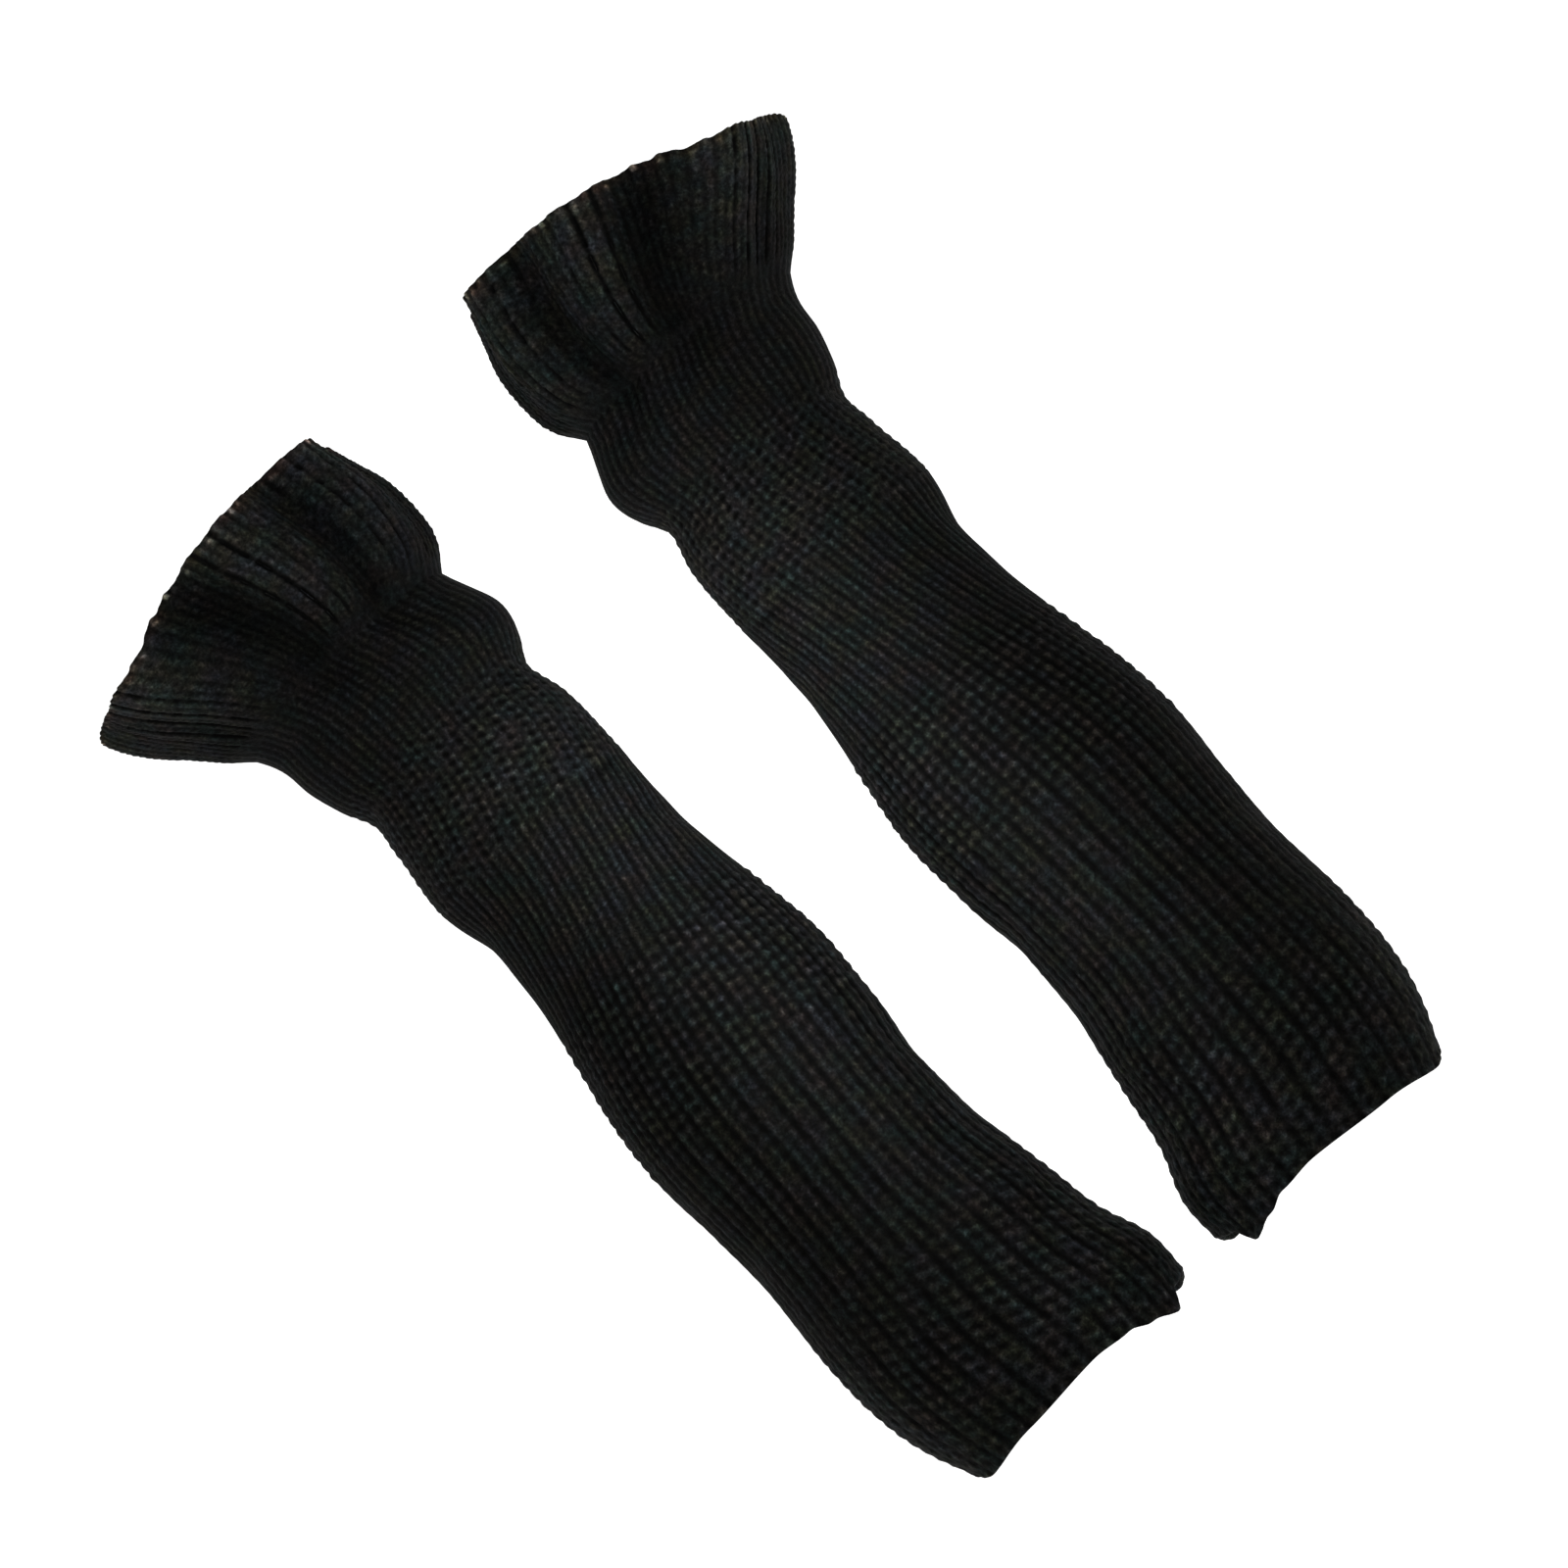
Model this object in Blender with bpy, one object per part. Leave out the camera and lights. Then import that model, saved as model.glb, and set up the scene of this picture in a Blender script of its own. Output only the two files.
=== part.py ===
"""Pair of knitted arm warmers with a flared, fluted frill at the hand, filled out as if worn.

Frame: the origin is midway between the two forearms, +Y runs from the open upper ends to the
frills, +X is the right warmer's outer side and +Z is the front. The left warmer is the right
one mirrored in the plane x = 0. Each warmer is a hollow tube, open at both ends.
"""
import math
from collections import namedtuple

import bmesh
import bpy

MM = 0.001

# The pair
COLLECTION = "pair_of_arm_warmers"
CENTRE_X = 71.1  # from the middle of the pair to the middle of a warmer, mm
SPREAD = 2.6  # how far each warmer leans outward toward its frill, degrees

# The knit
RIBS = 64  # ribs around the sleeve
FRILL_RIBS = 96  # ribs around the frill, three for every two of the sleeve
WALL = 2.6  # wall thickness at the crest of a rib, mm
SLEEVE_STEP = 4  # points of the ribbed outside for each point of the plain inside
FRILL_STEP = 2  # the same for the frill, whose inside follows its flutes more closely
SEAM_GAP = 0.3  # between the sleeve and the frill that is knitted onto it, mm

# Rows from the neck of the frill to the open upper end. y is along the arm, inner and outer are
# the two edges seen from the front, height is how far the front and the back stand from the
# middle, turn is how far the ribs have wound round the arm, bunch crowds them on the front and
# the back, and relief is their height. Millimetres, and degrees for turn.
Section = namedtuple("Section", "y inner outer height turn bunch relief")
SLEEVE = (
    Section(140.2, -44.6, 45.4, 34.0, 0.0, 0.12, 1.0),
    Section(131.0, -47.6, 41.4, 34.0, 0.0, 0.12, 1.0),
    Section(118.0, -51.2, 40.0, 34.0, 0.0, 0.12, 1.0),
    Section(106.0, -47.8, 36.9, 33.0, 0.2, 0.10, 1.0),
    Section(97.0, -43.9, 33.8, 32.0, 0.8, 0.08, 0.7),
    Section(82.0, -45.9, 34.6, 33.5, 3.6, 0.06, 0.7),
    Section(60.0, -45.4, 37.6, 34.6, 9.5, 0.06, 0.7),
    Section(36.0, -43.4, 34.6, 34.2, 18.5, 0.06, 1.0),
    Section(12.0, -44.2, 36.4, 35.6, 28.0, 0.06, 1.0),
    Section(-12.0, -47.0, 41.8, 39.5, 34.8, 0.05, 0.8),
    Section(-34.0, -49.0, 46.9, 42.8, 38.0, 0.03, 0.7),
    Section(-58.0, -47.2, 49.8, 43.8, 39.5, 0.02, 1.0),
    Section(-86.0, -43.7, 49.0, 43.4, 41.0, 0.01, 1.0),
    Section(-116.0, -42.8, 49.9, 43.8, 43.0, 0.00, 1.1),
    Section(-144.0, -46.9, 52.7, 46.6, 44.2, -0.02, 1.2),
    Section(-168.0, -49.4, 52.4, 47.8, 46.0, -0.04, 1.2),
    Section(-188.0, -55.3, 48.8, 47.4, 48.6, -0.04, 1.2),
    Section(-202.0, -54.6, 43.9, 46.4, 50.2, -0.04, 1.2),
)

# The open upper end is not cut straight: each row gives how far its edge stands beyond the last
# section at an angle around the arm, from the outer side (0) over the front (90).
Edge = namedtuple("Edge", "angle beyond")
UPPER_EDGE = (
    Edge(0, -3.0),
    Edge(28, 3.2),
    Edge(62, 0.6),
    Edge(100, -0.8),
    Edge(118, 1.0),
    Edge(129, 4.4),
    Edge(144, 8.2),
    Edge(153, 1.6),
    Edge(180, 0.0),
    Edge(205, 4.0),
    Edge(235, 0.4),
    Edge(270, -1.2),
    Edge(305, 0.2),
    Edge(332, 1.8),
)

# Rows of the frill from the neck to its rim: share is the part of the way along each rib.
Flare = namedtuple("Flare", "share inner outer height relief")
FRILL = (
    Flare(0.00, -44.6, 45.4, 34.0, 1.0),
    Flare(0.16, -50.9, 52.8, 38.6, 1.0),
    Flare(0.42, -53.5, 63.6, 45.6, 1.2),
    Flare(0.74, -51.4, 74.6, 51.4, 1.2),
    Flare(1.00, -47.8, 78.6, 54.0, 1.2),
)
FRILL_LENGTH = 57.0  # from the neck to the rim, at the front
RIM_EDGE = (
    Edge(0, -16.8),
    Edge(16, -14.6),
    Edge(45, -15.2),
    Edge(62, -12.4),
    Edge(74, -7.4),
    Edge(90, -2.4),
    Edge(108, -0.4),
    Edge(130, 3.2),
    Edge(152, 4.6),
    Edge(168, 2.6),
    Edge(182, -1.0),
    Edge(215, 0.0),
    Edge(255, -2.0),
    Edge(295, -6.0),
    Edge(330, -11.0),
    Edge(346, -13.6),
)

# Flutes of the frill. Each row is one fold: the angle of its floor at the rim, how far its
# sides reach toward smaller and larger angles, how deep it goes inward (a minus sign makes a
# crest), how sharply it starts at the neck, how much of it is gone again at the rim, and how
# many degrees smaller its angle is at the neck.
Fold = namedtuple("Fold", "angle below above depth start fade lean")
FOLDS = (
    Fold(20, 18, 14, 3.0, 1.00, 0.00, 0),
    Fold(38, 10, 12, 3.6, 0.30, 0.90, 0),
    Fold(54, 24, 20, -7.6, 0.70, 0.00, 0),
    Fold(86, 24, 12, 15.5, 0.45, 0.10, 0),
    Fold(105, 12, 13, -6.8, 0.50, 0.00, 2),
    Fold(130, 11, 10, 11.5, 0.40, 0.40, 10),
    Fold(148, 15, 19, -5.8, 0.70, 0.00, 6),
    Fold(166, 14, 16, 3.0, 0.80, 0.30, 0),
    Fold(195, 18, 20, 5.6, 0.70, 0.20, 0),
    Fold(224, 20, 18, -4.6, 0.80, 0.00, 0),
    Fold(249, 13, 27, 13.0, 0.50, 0.15, 0),
    Fold(286, 22, 20, -5.4, 0.80, 0.00, 0),
    Fold(316, 18, 18, 7.2, 0.60, 0.30, 0),
)

# The yarn
YARN_COLOUR = (0.0065, 0.0066, 0.0068, 1.0)
YARN_ROUGHNESS = 0.92


def clear_scene():
    """Remove whatever objects the file opens with."""
    for old in list(bpy.data.objects):
        bpy.data.objects.remove(old, do_unlink=True)


def yarn_material(name):
    """Matt black yarn."""
    material = bpy.data.materials.new(name)
    material.use_nodes = True
    surface = material.node_tree.nodes["Principled BSDF"]
    surface.inputs["Base Color"].default_value = YARN_COLOUR
    surface.inputs["Roughness"].default_value = YARN_ROUGHNESS
    surface.inputs["Metallic"].default_value = 0.0
    return material


def edge_at(rows, angle):
    """How far an edge stands beyond its section at an angle, eased from row to row."""
    turned = angle % 360
    for row, following in zip(rows, rows[1:] + (Edge(rows[0].angle + 360, rows[0].beyond),)):
        if row.angle <= turned <= following.angle:
            part = (turned - row.angle) / (following.angle - row.angle)
            eased = part * part * (3 - 2 * part)
            return row.beyond + (following.beyond - row.beyond) * eased
    return rows[0].beyond


def fold_depth(angle, share):
    """How deep the flutes push the frill inward at an angle and a share of its length."""
    depth = 0.0
    for fold in FOLDS:
        floor = fold.angle - fold.lean * (1 - share)
        off = (angle - floor + 180) % 360 - 180
        reach = fold.below if off < 0 else fold.above
        if abs(off) < reach:
            swell = 0.5 + 0.5 * math.cos(math.pi * off / reach)
            along = share**fold.start * (1 - fold.fade * share * share)
            depth += fold.depth * swell * along
    return depth


def ring_angle(index, count, turn, bunch):
    """Angle in degrees of one point of a ring, wound back by turn and crowded by bunch."""
    angle = math.tau * index / count - math.radians(turn)
    return math.degrees(angle + bunch * math.sin(2 * angle))


def ring_point(row, angle, depth, y):
    """A point of a section's oval, moved inward by depth along the oval's own normal."""
    middle = (row.inner + row.outer) / 2
    half = (row.outer - row.inner) / 2
    around = math.radians(angle)
    slope = math.hypot(math.cos(around) / half, math.sin(around) / row.height)
    across = half * math.cos(around) - depth * math.cos(around) / half / slope
    up = row.height * math.sin(around) - depth * math.sin(around) / row.height / slope
    return (middle + across) * MM, y * MM, up * MM


def rib_depth(index, relief):
    """Every second point of the outside lies in a groove between two ribs."""
    return relief if index % 2 else 0.0


def sleeve_rings():
    """Outer and inner rings of the sleeve, from the neck to the upper end."""
    outside, inside = [], []
    for row in SLEEVE:
        at_neck = row is SLEEVE[0]
        at_end = row is SLEEVE[-1]
        for rings, step in ((outside, 1), (inside, SLEEVE_STEP)):
            ring = []
            for index in range(0, 2 * RIBS, step):
                angle = ring_angle(index, 2 * RIBS, row.turn, row.bunch)
                depth = rib_depth(index, row.relief) if rings is outside else WALL
                y = row.y - SEAM_GAP if at_neck else row.y
                if at_end:
                    y -= edge_at(UPPER_EDGE, angle)
                ring.append(ring_point(row, angle, depth, y))
            rings.append(ring)
    return outside, inside


def frill_rings():
    """Outer and inner rings of the frill, from the neck to the rim."""
    outside, inside = [], []
    neck = SLEEVE[0]
    for row in FRILL:
        for rings, step in ((outside, 1), (inside, FRILL_STEP)):
            ring = []
            for index in range(0, 2 * FRILL_RIBS, step):
                angle = ring_angle(index, 2 * FRILL_RIBS, 0.0, neck.bunch * (1 - row.share))
                depth = rib_depth(index, row.relief) if rings is outside else WALL
                depth += fold_depth(angle, row.share)
                length = FRILL_LENGTH + edge_at(RIM_EDGE, angle)
                ring.append(ring_point(row, angle, depth, neck.y + row.share * length))
            rings.append(ring)
    return outside, inside


def lofted_wall(name, outside, inside, side):
    """A closed wall: the outer loft, the plain inner loft, and a band across each end."""
    shape = bmesh.new()
    outer = [[shape.verts.new((side * x, y, z)) for x, y, z in ring] for ring in outside]
    inner = [[shape.verts.new((side * x, y, z)) for x, y, z in ring] for ring in inside]
    for rings in (outer, inner):
        for ring, following in zip(rings, rings[1:]):
            count = len(ring)
            for index in range(count):
                after = (index + 1) % count
                shape.faces.new((ring[index], ring[after], following[after], following[index]))
    # Each point across an end's band is joined to the nearest point of the plain inside
    count, plain_count = len(outer[0]), len(inner[0])
    step = count // plain_count
    for end in (0, -1):
        for index in range(count):
            after = (index + 1) % count
            nearest = (index + step // 2) // step % plain_count
            following = (after + step // 2) // step % plain_count
            shape.faces.new((outer[end][index], outer[end][after], inner[end][nearest]))
            if following != nearest:
                bridge = (outer[end][after], inner[end][following], inner[end][nearest])
                shape.faces.new(bridge)
    bmesh.ops.recalc_face_normals(shape, faces=shape.faces)
    mesh = bpy.data.meshes.new(name)
    shape.to_mesh(mesh)
    shape.free()
    return mesh


def add_piece(collection, name, mesh, parent):
    """A knitted piece with its own material, carried by its warmer's empty."""
    piece = bpy.data.objects.new(name, mesh)
    mesh.materials.append(yarn_material(name + "_yarn"))
    mesh.shade_smooth()
    mesh.set_sharp_from_angle(angle=math.radians(50))
    collection.objects.link(piece)
    piece.parent = parent
    return piece


def main():
    clear_scene()
    collection = bpy.data.collections.new(COLLECTION)
    bpy.context.scene.collection.children.link(collection)
    for hand, side in (("right", 1), ("left", -1)):
        warmer = bpy.data.objects.new(hand + "_warmer", None)
        collection.objects.link(warmer)
        warmer.location.x = side * CENTRE_X * MM
        warmer.rotation_euler.z = -side * math.radians(SPREAD)
        for part, rings in (("sleeve", sleeve_rings()), ("frill", frill_rings())):
            name = f"{hand}_{part}"
            add_piece(collection, name, lofted_wall(name, *rings, side), warmer)


main()
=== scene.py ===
"""Looks of a pair of knitted arm warmers with fluted frills, filled out as if worn.

Every knitted piece is one closed shell on the form of its solid: a fine outer face with its
ribs and seed stitches raised, rolled edges, and a coarser inner face with plain ribs. Lengths
are in millimetres in the tables of the cloth and in metres in the scene.
"""
import math
from collections import namedtuple

import bpy
import numpy as np
from mathutils import Matrix, Vector


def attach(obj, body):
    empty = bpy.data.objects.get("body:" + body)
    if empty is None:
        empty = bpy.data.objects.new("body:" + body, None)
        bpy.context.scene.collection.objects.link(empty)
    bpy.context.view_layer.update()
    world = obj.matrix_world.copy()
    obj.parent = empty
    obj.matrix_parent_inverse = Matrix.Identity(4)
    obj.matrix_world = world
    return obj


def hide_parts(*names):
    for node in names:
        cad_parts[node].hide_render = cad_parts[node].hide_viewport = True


MM = 0.001

# The pair
CENTRE_X = 71.1  # from the middle of the pair to the middle of a warmer
SPREAD = 2.6  # how far each warmer leans outward toward its frill, degrees

# The cloth
RIBS = 64
FRILL_RIBS = 96
THICKNESS = 2.3  # from the crest of a rib to the inside of the cloth
MIDDLE = 0.62  # how far the middle of the knit's relief lies under the solid's crests
PROUD = 0.45  # how far the whole cloth is then moved out
RAISED = 0.58  # how much of the stitches' height stands in the mesh, the rest is in the shade
GROOVE_POWER = 1.35  # above 1 a groove between two ribs is narrower than a crest
NECK_CALM = 6.0  # below the neck, where creases and swells set in
ROLLED = 0.8  # how far a rolled edge stands beyond the knit

# Points of the meshes
COLUMNS = 6  # across one rib of the sleeve
FRILL_COLUMNS = 8
FRILL_PITCH = 2.7  # height of a row of the frill
FRILL_ROWS_EACH = 3
EDGE_STEPS = 3  # rows round a rolled edge
INNER_PER_RIB = 2
INNER_ROW_STEP = 5  # rows of the outside to one row of the inside

# Shade of the cloth, with painted shade in its grooves and painted highlights where it stands up
DEEPEST = 1.4  # a depth at which the yarn is hidden from light
RELIEF_HIGHLIGHT = 1.15  # painted highlight and shade: how much lighter the colour is for each millimetre the knit stands up
INNER_RELIEF = 0.3  # height of the inside's plain ribs, from their middle
INNER_DEEP = 0.7  # how deep the grooves of the inside count as lying, as a share of DEEPEST
INNER_LIGHT = 3.6
PINCH_SHADE = 0.08  # painted shade: how much darker a pinch is for each millimetre of its depth
PINCH_DARKEST = 0.5  # as a share of the light beside it
MOST_LIGHT = 30  # the meshes hold no greater depth or lightness

# How stitches differ one by one, as shares of the relief's height
RIB_UNEVEN = 0.35  # a plain rib's stitches, compared with seed stitches
VARY_RELIEF = 0.30  # all of a stitch's waves
VARY_CRESTS = 0.14  # where its crest lies
VARY_GAPS = 0.46  # where the groove beside it lies

# Repeatable chances: a number of its own for each use, and the steps of a sine
SALT = {"stitch": 1.0, "gap": 2.0, "bead": 3.0, "frill gap": 4.0, "onset": 5.0, "loop": 9.0}
SINE_STEPS = (12.9898, 78.233, 37.719)  # for a rib, a row and a use
SINE_SCALE = 43758.5453  # large, so that neighbours' last digits have nothing in common

# Sections of the sleeve, as its solid has them but for up to 0.6 mm at the wrist's outer edge:
# the two edges seen from the front, the height of the front and the back, how far the ribs have
# wound round, and how they crowd
Section = namedtuple("Section", "y inner outer height turn bunch")
SLEEVE = (
    Section(140.2, -44.6, 46.0, 34.0, 0.0, 0.12),
    Section(131.0, -47.6, 42.0, 34.0, 0.0, 0.12),
    Section(118.0, -51.2, 40.6, 34.0, 0.0, 0.12),
    Section(106.0, -47.8, 37.3, 33.0, 0.2, 0.10),
    Section(97.0, -43.9, 33.8, 32.0, 0.8, 0.08),
    Section(82.0, -45.9, 34.6, 33.5, 3.6, 0.06),
    Section(60.0, -45.4, 37.6, 34.6, 9.5, 0.06),
    Section(36.0, -43.4, 34.6, 34.2, 18.5, 0.06),
    Section(12.0, -44.2, 36.4, 35.6, 28.0, 0.06),
    Section(-12.0, -47.0, 41.8, 39.5, 34.8, 0.05),
    Section(-34.0, -49.0, 46.9, 42.8, 38.0, 0.03),
    Section(-58.0, -47.2, 49.8, 43.8, 39.5, 0.02),
    Section(-86.0, -43.7, 49.0, 43.4, 41.0, 0.01),
    Section(-116.0, -42.8, 49.9, 43.8, 43.0, 0.00),
    Section(-144.0, -46.9, 52.7, 46.6, 44.2, -0.02),
    Section(-168.0, -49.4, 52.4, 47.8, 46.0, -0.04),
    Section(-188.0, -55.3, 48.8, 47.4, 48.6, -0.04),
    Section(-202.0, -54.6, 43.9, 46.4, 50.2, -0.04),
)
SLEEVE_END = SLEEVE[-1].y

# How far the upper end stands beyond its last section at angles round the arm
UPPER_EDGE = (
    (0, -3.0), (28, 3.2), (62, 0.6), (100, -0.8), (118, 1.0), (129, 4.4), (144, 8.2),
    (153, 1.6), (180, 0.0), (205, 4.0), (235, 0.4), (270, -1.2), (305, 0.2), (332, 1.8),
)
EDGE_FROM = SLEEVE[-3].y  # where the rows begin to follow the edge
EDGE_EASE = 1.4  # above 1, they follow it slowly at first

# Sections of the frill at shares of its length, and how far its rim stands beyond the last one
Flare = namedtuple("Flare", "share inner outer height")
FRILL = (
    Flare(0.00, -44.6, 46.0, 34.0),
    Flare(0.16, -50.9, 52.8, 38.6),
    Flare(0.38, -53.7, 60.6, 44.6),
    Flare(0.62, -53.6, 69.6, 49.6),
    Flare(0.85, -50.2, 76.0, 52.8),
    Flare(1.00, -47.8, 78.6, 54.0),
)
FRILL_LENGTH = 57.0
RIM_EDGE = (
    (0, -15.8), (16, -14.1), (42, -16.2), (56, -16.1), (63, -13.8), (72, -7.2), (80, -3.2),
    (90, -1.6), (100, -3.2), (110, -1.4), (120, 0.8), (130, 2.8), (144, 2.0), (153, 2.4),
    (168, 2.4), (182, 0.0), (215, 0.0), (255, -2.0), (295, -6.0), (330, -11.0), (346, -13.6),
)

# Flutes: the angle of a flute's floor at the rim, how far its sides reach toward smaller and
# larger angles, how deep it goes inward (minus for a crest), how sharply it starts at the neck,
# how much of it is gone at the rim, and how many degrees smaller its angle is at the neck
Fold = namedtuple("Fold", "angle below above depth start fade lean")
FOLDS = (
    Fold(20, 18, 14, 3.0, 1.00, 0.00, 0),
    Fold(38, 10, 12, 3.6, 0.30, 0.90, 0),
    Fold(54, 24, 20, -7.6, 0.70, 0.00, 0),
    Fold(86, 24, 12, 15.5, 0.45, 0.10, 0),
    Fold(105, 12, 16, -6.8, 0.42, 0.00, 2),
    Fold(130, 11, 10, 11.5, 0.40, 0.40, 10),
    Fold(148, 15, 19, -5.8, 0.70, 0.00, 6),
    Fold(166, 14, 16, 3.0, 0.80, 0.30, 0),
    Fold(195, 18, 20, 5.6, 0.70, 0.20, 0),
    Fold(224, 20, 18, -4.6, 0.80, 0.00, 0),
    Fold(249, 13, 27, 13.0, 0.50, 0.15, 0),
    Fold(286, 22, 20, -5.4, 0.80, 0.00, 0),
    Fold(316, 18, 18, 7.2, 0.60, 0.30, 0),
)
FOLD_EASE = 0.17  # share of the frill over which the flutes set in from the neck

# Where a flute pinches the neck: its angle, how far it reaches, and its depth
Pinch = namedtuple("Pinch", "angle reach depth")
PINCHES = (
    Pinch(84, 14, 4.0),
    Pinch(122, 10, 3.4),
    Pinch(30, 12, 1.6),
    Pinch(55, 12, -0.8),
    Pinch(108, 10, -0.8),
    Pinch(196, 16, 1.6),
    Pinch(250, 15, 2.6),
    Pinch(316, 14, 1.8),
)
PINCH_LENGTH = 9.5

# Where the pairs of frill ribs stand out boldly: middle and reach in degrees, and how much
Bold = namedtuple("Bold", "angle reach share")
BOLD = (
    Bold(38, 26, 1.0),
    Bold(99, 15, 0.8),
    Bold(140, 14, 0.4),
    Bold(166, 16, 0.6),
    Bold(222, 24, 0.9),
    Bold(284, 24, 0.8),
    Bold(340, 22, 0.8),
)

# The frill's own knit, whose ribs and bold pairs set in a little above the neck
OWN_FROM = 0.03  # share of the frill's length
BOLD_OVER = 0.12
OWN_OVER = 0.14
GROOVE_DEPTH = 0.48  # below the crests, where no pair is bold
BOLD_MORE = 1.2  # how much deeper one groove of a bold pair is
BOLD_LESS = 0.16  # and how much shallower the other one is
GROOVE_VARY = 0.9  # how much its grooves differ one by one
CREST_DEPTH = 0.25  # how far its crests lie under the solid's
BEAD_HEIGHT = 0.20  # of the stitches on a crest
BEAD_VARY = 0.12  # how much their height differs one by one
BEAD_SUNK = 0.34  # and how much their depth does
BEAD_SLANT = 0.8  # rows to a rib by which a stitch's two legs lean
RIM_SCALLOPS = (0.05, 0.1, 0.2)  # how far the ribs of the last rows stand beyond the grooves

# How light the frill's knit is, with painted shade in its flutes and painted highlights on its
# crests and stitches
FRILL_RELIEF_HIGHLIGHT = 0.40  # painted highlight and shade, for each millimetre that it stands up
BEAD_HIGHLIGHT = 0.9  # painted highlight, for each millimetre that a stitch stands out of its rib
FLUTE_SHADE = 0.075  # painted shade, for each millimetre of a flute's depth
FOLD_CREST_HIGHLIGHT = 0.085  # painted highlight, for each millimetre of a crest's height
RIM_OPEN = 0.8  # share of a flute's shade that is gone at the rim
PAINTED_LIGHT_RANGE = (0.28, 1.6)

# Loops that catch the light in the last rows before the rim
LOOP_FROM = 0.95  # share of the frill's length
LOOP_OVER = 0.02
LOOP_LIGHT = 12.0
LOOP_RARE = 6  # the higher, the fewer loops are light
LOOP_NARROW = 3  # the higher, the nearer they keep to their crest
WARM_HIGHLIGHT_ROWS = 1.6  # rows from the rim over which a painted warm highlight tints the yarn browner

# The relief of each kind of knit is a sum of waves: how many to a rib, how many to a row, how far
# shifted in degrees, and how high in millimetres. Half a wave to a rib tells odd ribs from even.
Wave = namedtuple("Wave", "ribs rows shift height")
WRIST_RIB = (
    Wave(1.0, 0, 0, 0.32),
)
FINE_RIB = (
    Wave(1.0, 0, 0, 0.38),
    Wave(0.5, 0, -57, 0.13),
)
WIDE_RIB = (
    Wave(1.0, 0, 0, 0.37),
    Wave(0.5, 0, -70, 0.26),
    Wave(0.0, 1, 0, 0.19),
    Wave(-0.5, 1, -150, 0.12),
)
FINE_SEED = (
    Wave(1.0, 0, 0, 0.26),
    Wave(0.0, 1, 0, 0.26),
    Wave(0.5, 0, -75, 0.11),
    Wave(-0.5, 1, -88, 0.23),
)
WIDE_SEED = (
    Wave(1.0, 0, 0, 0.43),
    Wave(0.0, 1, 0, 0.37),
    Wave(0.5, 0, -57, 0.11),
    Wave(-0.5, 1, 88, 0.22),
    Wave(0.5, 1, 25, 0.07),
    Wave(-1.0, 1, -30, 0.04),
    Wave(1.0, 1, -10, 0.05),
)
COARSE_SEED = (
    Wave(1.0, 0, 0, 0.32),
    Wave(0.0, 1, 0, 0.24),
    Wave(0.5, 0, 85, 0.24),
    Wave(-0.5, 1, -90, 0.24),
    Wave(1.0, 1, -10, 0.12),
)
LOOSE_SEED = (
    Wave(1.0, 0, 0, 0.25),
    Wave(0.0, 1, 0, 0.18),
    Wave(0.5, 0, 80, 0.14),
    Wave(-0.5, 1, -80, 0.16),
    Wave(0.5, 1, 67, 0.14),
    Wave(1.0, 1, 20, 0.11),
)

# Bands of the sleeve from the neck down: what it is knitted in, where it starts, the height of a
# row, how many rows of points that row has, and over what length the band takes over from the
# one before
Band = namedtuple("Band", "knit start pitch rows_each onset")
BANDS = (
    Band(WRIST_RIB, 140.2, 2.3, 1, 1.0),
    Band(FINE_SEED, 104.0, 3.56, 4, 1.8),
    Band(FINE_RIB, 56.0, 2.4, 1, 1.0),
    Band(WIDE_SEED, -1.0, 4.50, 4, 2.4),
    Band(WIDE_RIB, -55.5, 5.2, 2, 2.4),
    Band(COARSE_SEED, -129.0, 5.20, 4, 12.0),
    Band(LOOSE_SEED, -175.8, 5.20, 4, 9.0),
)
EARLIEST = 0.3  # how far ahead of a band the first ribs change, as a share of its onset

# Along the arm: how light the knit is
Tone = namedtuple("Tone", "y light")
TONES = (
    Tone(197, 1.70),
    Tone(185, 1.35),
    Tone(165, 0.95),
    Tone(145, 0.58),
    Tone(125, 0.60),
    Tone(106, 0.62),
    Tone(98, 0.72),
    Tone(75, 0.96),
    Tone(55, 0.80),
    Tone(20, 0.76),
    Tone(-6, 0.52),
    Tone(-45, 0.50),
    Tone(-60, 0.53),
    Tone(-90, 0.61),
    Tone(-120, 0.56),
    Tone(-150, 0.67),
    Tone(-205, 1.28),
)

# Soft creases of the sleeves: where each lies, how far it runs round and along, and its depth
Crease = namedtuple("Crease", "y angle across along slant depth")
CREASES = (
    Crease(101, 168, 34, 5.5, -4.0, 1.5),
    Crease(96, 20, 30, 6.0, 5.0, 1.1),
    Crease(134, 150, 26, 4.5, 3.0, 1.0),
    Crease(133, 30, 30, 4.5, -4.0, 0.9),
    Crease(112, 262, 44, 5.0, 5.0, 1.2),
    Crease(88, 305, 34, 6.0, -6.0, 1.0),
    Crease(38, 12, 34, 8.0, 8.0, 1.1),
    Crease(28, 160, 26, 7.0, -6.0, 0.8),
    Crease(44, 248, 38, 8.0, -7.0, 1.0),
    Crease(-10, 285, 34, 8.0, 7.0, 0.9),
    Crease(-84, 172, 34, 10.0, -8.0, 1.0),
    Crease(-100, 22, 30, 9.0, 8.0, 0.7),
    Crease(-120, 236, 40, 10.0, 8.0, 1.0),
    Crease(-152, 300, 36, 9.0, -8.0, 0.9),
    Crease(-150, 160, 26, 8.0, 9.0, 0.9),
    Crease(-176, 78, 34, 7.0, -5.0, 0.6),
)

# Courses that lie a little sunk where one knit meets the next
COURSES = (
    Crease(52, 135, 34, 1.1, -2.0, 0.55),
    Crease(-57, 150, 30, 1.3, -2.0, 0.40),
)

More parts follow.
